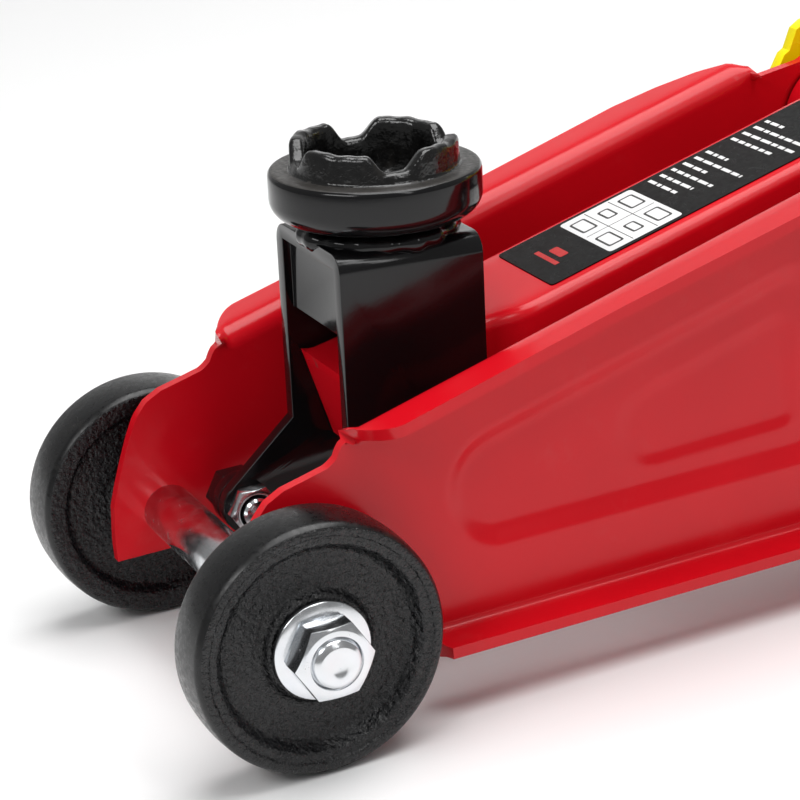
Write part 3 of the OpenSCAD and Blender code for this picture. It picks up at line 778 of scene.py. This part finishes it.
def saddle_profile(t):
    r = SADDLE_R
    wob = 0.22 * math.sin(5 * t + 1) + 0.16 * math.sin(11 * t + 2) + 0.1 * math.sin(23 * t)
    rise = lug(t)
    top = RIM + 2.6 + (LUG_RISE - 2.6) * rise + wob
    out = r - 5.6 + 0.3 * wob
    thin = 4.4 - 0.5 * rise + 0.3 * wob
    under = [(r - 6.6 + 6.6 * math.sin(a), 9 - 5.6 * math.cos(a))
             for a in (math.radians(10 * k) for k in range(0, 10))]
    return ([(0, -8.5), (7.6, -8.5), (8, -8.1), (8, 0.05), (13.4, 0.1), (14, 0.7), (14.4, 2.8),
             (15.2, 3.4), (r - 8, 3.4)] + under +
            [(r, 12), (r, RIM - 1.5), (r - 0.15, RIM - 0.75), (r - 0.6, RIM - 0.2), (r - 1.3, RIM),
             (r - 3.4, RIM - 0.05), (out + 0.5, RIM), (out + 0.12, RIM + 0.4), (out, RIM + 0.9),
             (out - 0.15, top - 1.3), (out - 0.45, top - 0.5), (out - 1.1, top),
             (out - thin + 1.0, top - 0.1), (out - thin + 0.3, top - 0.6), (out - thin, top - 1.4),
             (out - thin - 0.5, RIM - 2), (out - thin - 1.0, 10.5), (out - thin - 2.2, 8),
             (out - thin - 4.6, 6.9 + 0.3 * wob), (5, 6.5), (0, 6.5)])


bm = bmesh.new()
turn(bm, SEAT, UPRIGHT, 192, saddle_profile, closed=False)
for f in bm.faces:
    m = f.calc_center_median() - SEAT
    h = m.dot(UPRIGHT) / MM
    rad = (m - UPRIGHT * m.dot(UPRIGHT)).length / MM
    if rad > SADDLE_R - 5.2 and h > RIM - 0.35:
        f.material_index = 2
    elif rad < SADDLE_R - 5.0 and h > 5:
        f.material_index = 1
put("saddle_cast", bm, [BLACK, CROWN, DUSTY], "saddle_cup", True, ("saddle",),
    crease=60)


def bead(name, centre, axis, ring, r, body, mat, lumps, squash=1.0, phase=0.0):
    """An irregular weld bead: a lumpy ring around an axis."""
    def profile(t):
        swell = 1 + 0.18 * math.sin(lumps * t + phase) + 0.12 * math.sin((2 * lumps + 3) * t)
        big = ring + 0.35 * math.sin(3 * t + phase)
        return [(big + r * swell * math.cos(a), r * squash * swell * math.sin(a))
                for a in (math.radians(30 * k) for k in range(12))]

    bm = bmesh.new()
    turn(bm, centre, axis, 144, profile)
    put(name, bm, mat, body)


bead("saddle_weld", SEAT, UPRIGHT, 17.9, 2.7, "bracket", BLACK, 7,
     0.95)

# ------------------------------------------------------------------ lift arm
ARM_SLOPE = math.radians(14.1)
ARM_R = 20.0
ARM_T = 3.0
NOSE_HALF, ARM_HALF = 15.8, 20.0
BEND_Y = 75.0


def arm_top(y):
    return SHAFT_Z + ARM_R / math.cos(ARM_SLOPE) + (y - SHAFT_Y) * math.tan(ARM_SLOPE)


def arm_upper(y):
    if y < BEND_Y:
        return along([(33, 78), (BEND_Y, arm_top(BEND_Y))], y)
    if y < SHAFT_Y - 5:
        return arm_top(y)
    return SHAFT_Z + math.sqrt(max(0, ARM_R ** 2 - (y - SHAFT_Y) ** 2))


def arm_lower(y):
    if y > SHAFT_Y - 2:
        return SHAFT_Z - math.sqrt(max(0, ARM_R ** 2 - (y - SHAFT_Y) ** 2))
    return along([(33, 78), (39.5, 53), (46, 50.2), (53, 50), (196, 84), (SHAFT_Y - 2, 80.1)], y)


def arm_half(y):
    return NOSE_HALF + (ARM_HALF - NOSE_HALF) * step((y - 71.5) / 12)


def arm_section(y):
    """Right half of the channel's outside, from its lower edge up and over to the middle."""
    lo, hi, w = arm_lower(y), arm_upper(y), arm_half(y)
    r = min(3.4, (hi - lo) * 0.45)
    pts = [(w, lo + (hi - r - lo) * k / 6) for k in range(7)]
    pts += [(w - r + r * math.cos(a), hi - r + r * math.sin(a))
            for a in (math.radians(18 * k) for k in range(1, 6))]
    return pts + [((w - r) * (1 - k / 4), hi) for k in range(1, 5)]


ys = [33 + 6.5 * k / 5 for k in range(6)] + [41.5 + 2 * k for k in range(80)]
ys = [y for y in ys if y < 202]
ys += [SHAFT_Y + ARM_R * math.sin(math.radians(a)) for a in range(-28, 91, 6)]
bm = bmesh.new()
cols = []
for y in ys:
    half = arm_section(y)
    full = half + [(-x, z) for x, z in reversed(half[:-1])]
    cols.append([bm.verts.new(at(x, y, z)) for x, z in full])
grid(bm, cols)
for c0, c1 in zip(cols[:6], cols[1:6]):
    bm.faces.new((c0[-1], c1[-1], c1[0], c0[0]))
bmesh.ops.remove_doubles(bm, verts=bm.verts, dist=2e-5)
arm = put("arm_channel", bm, RED, "arm", True, ("lift_arm",))
sheet = arm.modifiers.new("thickness", "SOLIDIFY")
sheet.thickness = ARM_T * MM
sheet.offset = -1
sheet.use_even_offset = True
bevel(arm, 1.0, 3, 36)

HUB = at(0, SHAFT_Y, SHAFT_Z)
bm = bmesh.new()
lathe(bm, rounded([(10.1, -40.5), (17, -40.5), (17, 40.5), (10.1, 40.5)], 0.8), HUB, (1, 0, 0), 96)
put("arm_tube", bm, RED, "arm")
for s, side_name in ((1, "right"), (-1, "left")):
    bead("arm_weld_" + side_name, at(s * (ARM_HALF + 0.6), SHAFT_Y, SHAFT_Z), (s, 0, 0), 17.6, 1.7,
         "arm", RED, 17)


def straight_bar(p, q, rp, rq):
    """Outline of a bar with round ends, as (y, z) points in turn."""
    (py, pz), (qy, qz) = p, q
    d, a = math.hypot(qy - py, qz - pz), math.degrees(math.atan2(qz - pz, qy - py))
    t = math.degrees(math.acos((rp - rq) / d))
    return arc(p, rp, a + t, a + 360 - t, 24) + arc(q, rq, a - t, a + t, 16)


def extrude(bm, outline, x0, x1):
    """A slab between x0 and x1 with a (y, z) outline."""
    ends = [[bm.verts.new(at(x, y, z)) for y, z in outline] for x in (x0, x1)]
    bm.faces.new(ends[0])
    bm.faces.new(list(reversed(ends[1])))
    for i in range(len(outline)):
        j = (i + 1) % len(outline)
        bm.faces.new((ends[0][i], ends[1][i], ends[1][j], ends[0][j]))


lever_lo, lever_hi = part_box("lever_pin")
LEVER = ((lever_lo.y + lever_hi.y) / 2 / MM - Y0 / MM, (lever_lo.z + lever_hi.z) / 2 / MM)
bm = bmesh.new()
for x in (-16.6, 10.6):
    extrude(bm, straight_bar((SHAFT_Y, SHAFT_Z), LEVER, 18, 10.5), x, x + 6)
bevel(put("arm_levers", bm, RED, "arm", crease=30), 0.7, 3)

# ------------------------------------------------------------------ label on the arm
LEFT_EDGE = -13.6
FILM_Z, PANEL_Z, LINE_Z, CELL_Z = 0.36, 0.40, 0.43, 0.45


def print_block(bm, x0, x1, y0, y1, low, high, index, corner=0.0):
    """A thin printed patch on the arm's top face."""
    pts = [(x0, y0), (x1, y0), (x1, y1), (x0, y1)]
    pts = rounded(pts, corner) if corner else pts
    rings = [[bm.verts.new(at(x, y, arm_top(y) + h)) for x, y in pts] for h in (low, high)]
    faces = [bm.faces.new(rings[1])]
    for i in range(len(pts)):
        j = (i + 1) % len(pts)
        faces.append(bm.faces.new((rings[0][i], rings[0][j], rings[1][j], rings[1][i])))
    for f in faces:
        f.material_index = index


def word_row(bm, y, width, seed):
    """A row of plain white bars where a label would carry its small print."""
    x = LEFT_EDGE
    k = seed
    while x < LEFT_EDGE + width:
        k = (k * 37 + 11) % 101
        size = 1.6 + 3.2 * k / 101
        print_block(bm, x, min(x + size, LEFT_EDGE + width), y, y + 1.1, FILM_Z, 0.42, 1)
        x += size + 0.8


bm = bmesh.new()
print_block(bm, -15.6, 15.6, 91, 186, 0.0, FILM_Z, 0, 1.2)
print_block(bm, -6, 6, 97, 98.4, FILM_Z, 0.42, 3)
print_block(bm, -3.4, 3.4, 100, 102.6, FILM_Z, 0.42, 3, 0.6)
PANEL_X, PANEL_Y0, PANEL_Y1 = 14.2, 109.0, 131.0
print_block(bm, -PANEL_X, PANEL_X, PANEL_Y0, PANEL_Y1, FILM_Z, PANEL_Z, 1, 1.2)
print_block(bm, -0.12, 0.12, PANEL_Y0 + 0.8, PANEL_Y1 - 0.8, PANEL_Z, LINE_Z, 2)
cell = (PANEL_Y1 - PANEL_Y0) / 3
for row in range(3):
    y = PANEL_Y0 + cell * row
    if row:
        print_block(bm, -PANEL_X + 0.8, PANEL_X - 0.8, y - 0.12, y + 0.12, PANEL_Z, LINE_Z, 2)
    for s in (-1, 1):
        wide, deep = (4.2, 2.3) if (row + s) % 2 else (3.2, 1.7)
        x = s * PANEL_X / 2
        print_block(bm, x - wide, x + wide, y + cell / 2 - deep, y + cell / 2 + deep,
                    PANEL_Z, LINE_Z, 2, 0.8)
        print_block(bm, x - wide + 0.7, x + wide - 0.7, y + cell / 2 - deep + 0.6,
                    y + cell / 2 + deep - 0.6, LINE_Z, CELL_Z, 1, 0.5)
for k, width in enumerate((15, 17, 21, 12, 24, 11)):
    word_row(bm, 136 + 3.6 * k, width, 7 + 13 * k)
for k, width in enumerate((20, 26, 24, 9)):
    word_row(bm, 162 + 3.6 * k, width, 31 + 17 * k)
put("arm_label_print", bm, [FILM, WHITE, INK, MARK], "arm", False,
    ("arm_label",))

# ------------------------------------------------------------------ pump spring
lo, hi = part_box("plunger_spring")
c = (lo + hi) / 2
WIRE = 0.85
coil_r = (hi.x - lo.x) / 2 / MM - WIRE - 0.05
TURNS, DEAD_TURNS = 4.6, 1.6
low_z, high_z = lo.z / MM + WIRE, hi.z / MM - WIRE
bm = bmesh.new()
rings = []
steps = 230
for k in range(steps + 1):
    t = k / steps
    a = 2 * math.pi * (TURNS + DEAD_TURNS) * t
    rise = min(1, max(0, (t * (TURNS + DEAD_TURNS) - DEAD_TURNS / 2) / TURNS))
    z = low_z + (high_z - low_z) * rise
    out = Vector((math.cos(a), math.sin(a), 0))
    here = Vector((c.x, c.y, z * MM)) + out * coil_r * MM
    rise_way = Vector((0, 0, 1))
    rings.append([bm.verts.new(here + (out * math.cos(q) + rise_way * math.sin(q)) * WIRE * MM)
                  for q in (math.radians(36 * n) for n in range(10))])
for r0, r1 in zip(rings, rings[1:]):
    for n in range(10):
        m = (n + 1) % 10
        bm.faces.new((r0[n], r0[m], r1[m], r1[n]))
bm.faces.new(rings[0])
bm.faces.new(list(reversed(rings[-1])))
spring = put("spring_coil", bm, STEEL, body_of["plunger_spring"],
             True, ("plunger_spring",))
full = (hi.z - lo.z) / MM

# ------------------------------------------------------------------ handle trim
TILT = math.radians(50)
UP = Vector((0, math.cos(TILT), math.sin(TILT)))
GRIP_R, TUBE_R = 16.5, 13.6
prof = [(TUBE_R, 360.4), (GRIP_R - 1.6, 360.4), (GRIP_R, 362)]
s_at = 364.0
while s_at < 470:
    prof += [(GRIP_R, s_at), (GRIP_R - 0.25, s_at + 0.5), (GRIP_R - 1.1, s_at + 1.1),
             (GRIP_R - 1.1, s_at + 1.9), (GRIP_R - 0.25, s_at + 2.5), (GRIP_R, s_at + 3)]
    s_at += 6.6
prof += [(GRIP_R, 477), (GRIP_R - 0.6, 479), (GRIP_R - 2.4, 480), (4, 480), (0, 480), (0, 478.4),
         (TUBE_R, 478.4)]
bm = bmesh.new()
lathe(bm, prof, HUB, UP, 96)
put("grip_ribbed", bm, FOAM, body_of["handle_grip"], True,
    ("handle_grip",), crease=50)

KNOB = Vector((0, -math.sin(TILT), math.cos(TILT)))
ORIGIN = HUB + UP * 84 * MM


def knob_profile(t):
    ridge = 0.45 if int(math.degrees(t) / 5) % 2 else 0.0
    r = 10 - ridge
    return [(0, 13.6), (3.4, 13.6), (4, 14.2), (4, 24), (8.6, 24), (r, 25), (r, 30), (8.6, 31),
            (5.5, 31), (5.0, 30.5), (0, 30.5)]


bm = bmesh.new()
turn(bm, ORIGIN, KNOB, 144, knob_profile, closed=False)
put("lock_screw_knurled", bm, ZINC, body_of["lock_screw"], True,
    ("lock_screw",), crease=35)

# ------------------------------------------------------------------ casters
for side_name in ("right", "left"):
    node = "caster_wheel_" + side_name
    c, h, r = measure(node)
    half = [(4.06, h - 0.2), (8, h - 0.2), (8.6, h - 2.4), (13.8, h - 2.6), (14.8, h - 0.1),
            (r - 1.4, h), (r, h - 1.6), (r, 1.5), (r - 0.8, 0.7)]
    prof = half + [(a, -b) for a, b in reversed(half)]
    bm = bmesh.new()
    lathe(bm, rounded(prof, [0.2, 0.6, 0.8, 0.9, 0.5, 0.8, 1.2, 0.5, 0.4] * 2), c, (1, 0, 0), 96)
    put(node + ".moulded", bm, NYLON, body_of[node], True, (node,), crease=50)

# ------------------------------------------------------------------ hydraulic trim
tank_lo, tank_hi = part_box("reservoir")
tank = (tank_lo + tank_hi) / 2
tank_r = (tank_hi.x - tank_lo.x) / 2 / MM
for k, y in enumerate((tank_lo.y + 1.0 * MM, tank_hi.y - 0.4 * MM)):
    bead(f"tank_weld_{k + 1}", Vector((tank.x, y, tank.z)), (0, 1, 0), tank_r - 0.4, 1.1, "frame",
         RED, 31, 1.2, phase=k)

# ------------------------------------------------------------------ rounded CAD pieces
for n, w in (("link_pivot_bolts", 0.6), ("tie_bolt", 0.6), ("block_bolts", 0.7), ("link_bolts", 0.6),
             ("king_pins", 0.5), ("saddle_bracket", 0.9),
             ("link_rod_right", 0.7), ("link_rod_left", 0.7), ("handle_yoke", 0.9),
             ("caster_brackets", 0.9), ("caster_fork_right", 0.6), ("caster_fork_left", 0.6),
             ("caster_axle_right", 0.5), ("caster_axle_left", 0.5), ("pump_block", 1.2),
             ("rod_gland", 0.5), ("reservoir_cap", 1.5), ("filler_plug", 0.6),
             ("rear_cross_plate", 0.5), ("pump_sleeve", 0.5), ("pump_plunger", 0.7),
             ("release_valve", 0.5), ("ram_head", 0.8), ("roller_pin", 0.5), ("lever_pin", 0.4),
             ("lower_handle", 0.5), ("upper_handle", 0.5), ("reservoir", 0.4)):
    refine(n, w, 3)

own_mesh(spring)
